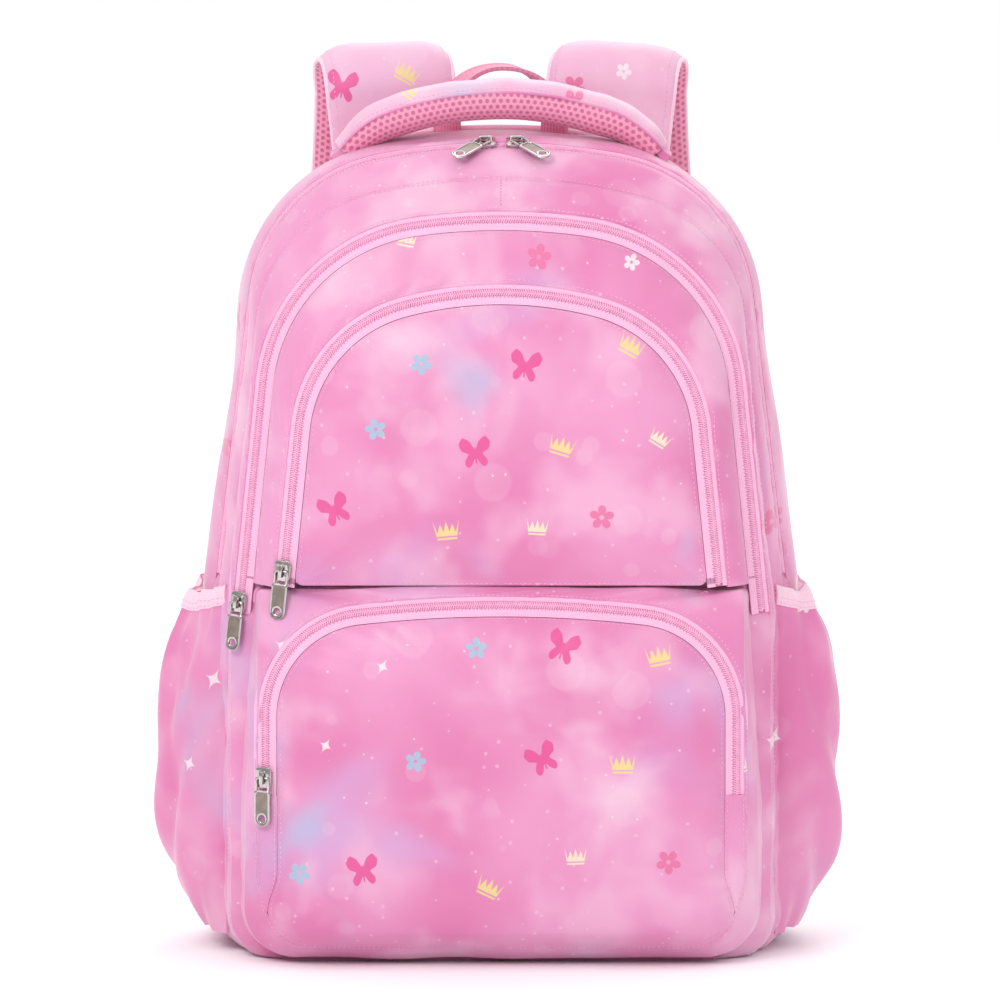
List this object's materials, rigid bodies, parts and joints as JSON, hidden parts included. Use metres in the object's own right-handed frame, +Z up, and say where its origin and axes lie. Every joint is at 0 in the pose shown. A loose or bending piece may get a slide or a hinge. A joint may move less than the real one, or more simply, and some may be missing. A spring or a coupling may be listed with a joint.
{
  "type": "school backpack",
  "caption": "Pink printed school backpack with zipped main, middle, front and lower compartments, mesh handle, side pockets and padded straps.",
  "frame": {"origin": "middle of the flat base that the bag stands on", "axes": "+X to the right in the front view, +Y from the front face towards the back panel, +Z up"},
  "size_m": [0.363, 0.2385, 0.4722],
  "materials": {
    "print_fabric": "satin woven polyester with a printed pink pattern",
    "lining": "thin plain lining",
    "zip_tape": "woven zip tape",
    "zip_coil": "nylon coil",
    "air_mesh": "spacer mesh with round holes",
    "binding": "plain binding",
    "webbing": "woven webbing",
    "foam": "closed-cell foam",
    "metal": "dark nickel plated die cast",
    "buckle": "moulded plastic"
  },
  "bodies": {
    "bag": {"back_panel": "air_mesh", "back_pad_left": "air_mesh", "back_pad_right": "air_mesh", "lumbar_pad": "air_mesh", "main_gusset": "print_fabric", "lower_front_shell": "print_fabric", "lower_divider": "lining", "base_panel": "lining", "inner_sleeve": "lining", "strap_yoke": "print_fabric", "hang_loop": "webbing", "handle_tabs": "print_fabric", "strap_anchor_left": "print_fabric", "strap_anchor_right": "print_fabric", "main_zip_chain": "zip_coil", "main_zip_tape_rear": "zip_tape", "lower_pocket_gusset": "print_fabric", "lower_face_panel": "print_fabric", "lower_zip_chain": "zip_coil", "lower_zip_tape_outer": "zip_tape", "lower_gusset_tabs": "print_fabric", "side_pocket_left": "print_fabric", "side_pocket_right": "print_fabric", "pocket_binding_left": "binding", "pocket_binding_right": "binding"},
    "front_section": {"middle_gusset": "print_fabric", "main_divider": "lining", "main_zip_tape_front": "zip_tape", "middle_zip_chain": "zip_coil", "middle_zip_tape_outer": "zip_tape"},
    "middle_flap": {"middle_panel": "print_fabric", "front_pocket_back": "lining", "middle_zip_tape_inner": "zip_tape", "front_zip_chain": "zip_coil", "front_zip_tape_outer": "zip_tape"},
    "front_flap": {"front_panel": "print_fabric", "front_zip_tape_inner": "zip_tape"},
    "lower_flap": {"lower_panel": "print_fabric", "lower_zip_tape_inner": "zip_tape"},
    "handle": {"handle_cover": "print_fabric", "handle_mesh": "air_mesh", "handle_foam": "foam"},
    "strap_left": {"strap_cover_left": "print_fabric", "strap_mesh_left": "air_mesh", "ladder_lock_left": "buckle", "strap_webbing_left": "webbing"},
    "main_slider_left": {"main_slider_left": "metal"},
    "main_pull_left": {"main_pull_left": "metal"},
    "strap_right": {"strap_cover_right": "print_fabric", "strap_mesh_right": "air_mesh", "ladder_lock_right": "buckle", "strap_webbing_right": "webbing"},
    "main_slider_right": {"main_slider_right": "metal"},
    "main_pull_right": {"main_pull_right": "metal"},
    "middle_slider": {"middle_slider": "metal"},
    "middle_pull": {"middle_pull": "metal"},
    "front_slider": {"front_slider": "metal"},
    "front_pull": {"front_pull": "metal"},
    "lower_slider": {"lower_slider": "metal"},
    "lower_pull": {"lower_pull": "metal"}
  },
  "joints": [
    {"name": "main_opening", "type": "hinge", "parent": "bag", "child": "front_section", "pos_m": [0, -0.068, 0.16], "axis": [1, 0, 0], "range_deg": [0, 20]},
    {"name": "middle_opening", "type": "hinge", "parent": "front_section", "child": "middle_flap", "pos_m": [0, -0.068, 0.18], "axis": [1, 0, 0], "range_deg": [0, 30]},
    {"name": "front_opening", "type": "hinge", "parent": "middle_flap", "child": "front_flap", "pos_m": [0, -0.068, 0.202], "axis": [1, 0, 0], "range_deg": [0, 35]},
    {"name": "lower_opening", "type": "hinge", "parent": "bag", "child": "lower_flap", "pos_m": [0, -0.091, 0.088], "axis": [1, 0, 0], "range_deg": [0, 95]},
    {"name": "handle_swing", "type": "hinge", "parent": "bag", "child": "handle", "pos_m": [0, 0.035, 0.432], "axis": [1, 0, 0], "range_deg": [-20, 20], "stiffness_Nm_per_rad": 0.05},
    {"name": "strap_right_swing", "type": "hinge", "parent": "bag", "child": "strap_right", "pos_m": [0.122, 0.099, 0.06], "axis": [-0.1571, -0.0236, 0.9873], "range_deg": [-15, 15]},
    {"name": "strap_left_swing", "type": "hinge", "parent": "bag", "child": "strap_left", "pos_m": [-0.122, 0.099, 0.06], "axis": [0.1571, -0.0236, 0.9873], "range_deg": [-15, 15]},
    {"name": "main_slider_right_run", "type": "hinge", "parent": "bag", "child": "main_slider_right", "pos_m": [0, 0, 0.0865], "axis": [0, 1, 0], "range_deg": [0, 9]},
    {"name": "main_pull_right_lift", "type": "hinge", "parent": "main_slider_right", "child": "main_pull_right", "pos_m": [0.0081, 0.00053, 0.43045], "axis": [-0.771, -0.604, -0.2018], "range_deg": [0, 130]},
    {"name": "main_slider_left_run", "type": "hinge", "parent": "bag", "child": "main_slider_left", "pos_m": [0, 0, 0.0865], "axis": [0, -1, 0], "range_deg": [0, 9]},
    {"name": "main_pull_left_lift", "type": "hinge", "parent": "main_slider_left", "child": "main_pull_left", "pos_m": [-0.0081, 0.00053, 0.43045], "axis": [-0.771, 0.604, 0.2018], "range_deg": [0, 130]},
    {"name": "middle_slider_run", "type": "slide", "parent": "front_section", "child": "middle_slider", "axis": [0.0995, 0, 0.995], "range_m": [0, 0.105]},
    {"name": "middle_pull_lift", "type": "hinge", "parent": "middle_slider", "child": "middle_pull", "pos_m": [-0.13927, -0.04465, 0.19023], "axis": [-0.8438, 0.5299, 0.0844], "range_deg": [0, 130]},
    {"name": "front_slider_run", "type": "slide", "parent": "middle_flap", "child": "front_slider", "axis": [0.0995, 0, 0.995], "range_m": [0, 0.065]},
    {"name": "front_pull_lift", "type": "hinge", "parent": "front_slider", "child": "front_pull", "pos_m": [-0.11565, -0.06799, 0.20966], "axis": [-0.9226, 0.3746, 0.0923], "range_deg": [0, 130]},
    {"name": "lower_slider_run", "type": "slide", "parent": "bag", "child": "lower_slider", "axis": [0, 0, 1], "range_m": [0, 0.026]},
    {"name": "lower_pull_lift", "type": "hinge", "parent": "lower_slider", "child": "lower_pull", "pos_m": [-0.12575, -0.07693, 0.101], "axis": [-0.9135, 0.4067, 0], "range_deg": [0, 130]}
  ]
}
